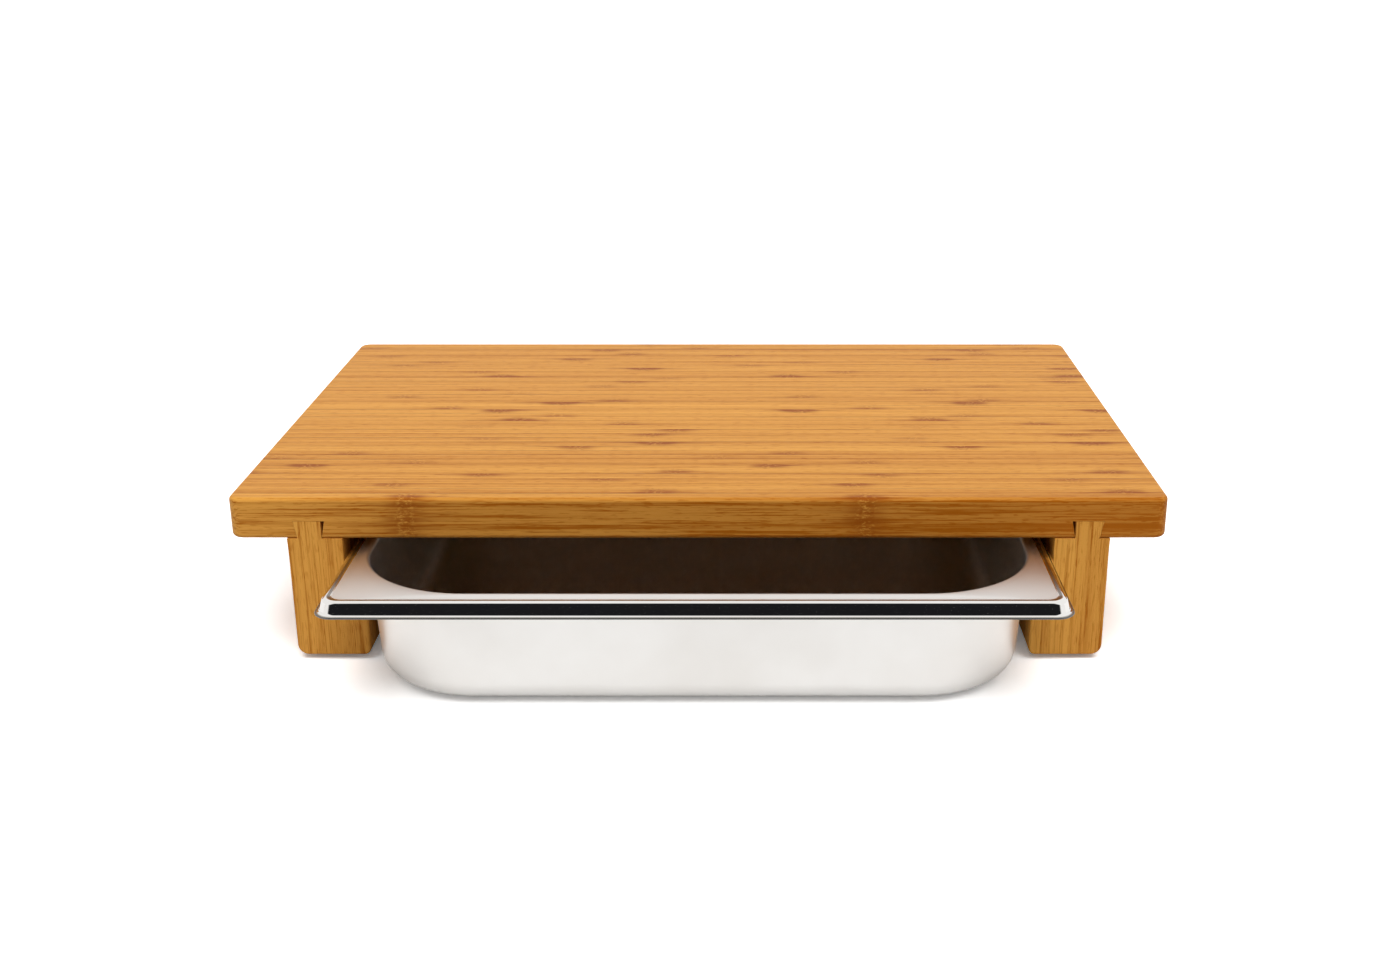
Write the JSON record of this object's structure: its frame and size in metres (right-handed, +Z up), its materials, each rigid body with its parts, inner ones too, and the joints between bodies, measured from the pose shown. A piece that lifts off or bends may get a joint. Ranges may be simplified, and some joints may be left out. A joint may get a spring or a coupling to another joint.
{
  "type": "cutting board with drawer tray",
  "caption": "Bamboo cutting board on two legs, with a stainless steel tray that slides out along ledges under it to catch what is cut.",
  "frame": {"origin": "on the worktop, in the middle of the board's width, halfway between the front lip of the pulled-out tray and the back of the board", "axes": "+X to the right of a person who pulls the tray, +Y away from them, +Z up"},
  "size_m": [0.43, 0.3414, 0.0808],
  "materials": {
    "bamboo_board": "oiled, edge grain strips",
    "bamboo_leg": "oiled, upright grain",
    "pad_rubber": "matt",
    "tray_steel": "satin, with a polished rim"
  },
  "bodies": {
    "board": {"board_strip_01": "bamboo_board", "board_strip_02": "bamboo_board", "board_strip_03": "bamboo_board", "board_strip_04": "bamboo_board", "board_strip_05": "bamboo_board", "board_strip_06": "bamboo_board", "board_strip_07": "bamboo_board", "board_strip_08": "bamboo_board", "board_strip_09": "bamboo_board", "board_strip_10": "bamboo_board", "board_strip_11": "bamboo_board", "board_strip_12": "bamboo_board", "board_strip_13": "bamboo_board", "board_strip_14": "bamboo_board", "board_strip_15": "bamboo_board", "board_strip_16": "bamboo_board", "board_strip_17": "bamboo_board", "board_strip_18": "bamboo_board", "board_strip_19": "bamboo_board", "board_strip_20": "bamboo_board", "board_strip_21": "bamboo_board", "board_strip_22": "bamboo_board", "board_strip_23": "bamboo_board", "board_strip_24": "bamboo_board", "board_strip_25": "bamboo_board", "board_strip_26": "bamboo_board", "board_strip_27": "bamboo_board", "board_strip_28": "bamboo_board", "board_strip_29": "bamboo_board", "board_strip_30": "bamboo_board", "board_strip_31": "bamboo_board", "board_strip_32": "bamboo_board", "board_strip_33": "bamboo_board", "board_strip_34": "bamboo_board", "board_strip_35": "bamboo_board", "board_strip_36": "bamboo_board", "board_strip_37": "bamboo_board", "board_strip_38": "bamboo_board", "board_strip_39": "bamboo_board", "board_strip_40": "bamboo_board", "left_leg_outer_layer": "bamboo_leg", "left_leg_inner_layer": "bamboo_leg", "right_leg_outer_layer": "bamboo_leg", "right_leg_inner_layer": "bamboo_leg", "foot_pad_front_left": "pad_rubber", "foot_pad_front_right": "pad_rubber", "foot_pad_back_left": "pad_rubber", "foot_pad_back_right": "pad_rubber"},
    "tray": {"tray": "tray_steel"}
  },
  "joints": [
    {"name": "tray_slide", "type": "slide", "parent": "board", "child": "tray", "axis": [0, -1, 0], "range_m": [-0.0708, 0.1397]}
  ]
}
